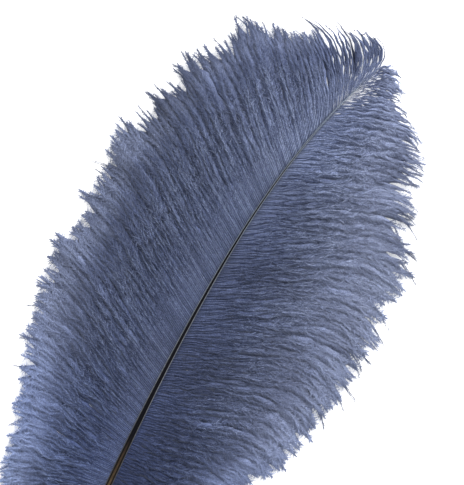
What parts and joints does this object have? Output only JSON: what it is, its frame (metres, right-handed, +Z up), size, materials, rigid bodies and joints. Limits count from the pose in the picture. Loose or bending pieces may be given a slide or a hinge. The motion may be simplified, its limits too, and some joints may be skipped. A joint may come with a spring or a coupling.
{
  "type": "ostrich feather",
  "caption": "Broad dyed ostrich plume lying convex side up: a tapering shaft that arches from quill to tip, with soft drooping barbs in clumped locks along both sides.",
  "frame": {"origin": "the middle of the flat underside of the quill, where it lies on the surface", "axes": "+Y along the feather from the quill to the tip, +Z up off the surface, +X to the right seen from above with the tip away from the viewer"},
  "size_m": [0.2029, 0.4099, 0.0301],
  "materials": {
    "dyed_barbs": "soft matt dyed barbs, slate blue, paler towards their tips"
  },
  "bodies": {
    "root": {"feather": "dyed_barbs"}
  },
  "joints": []
}
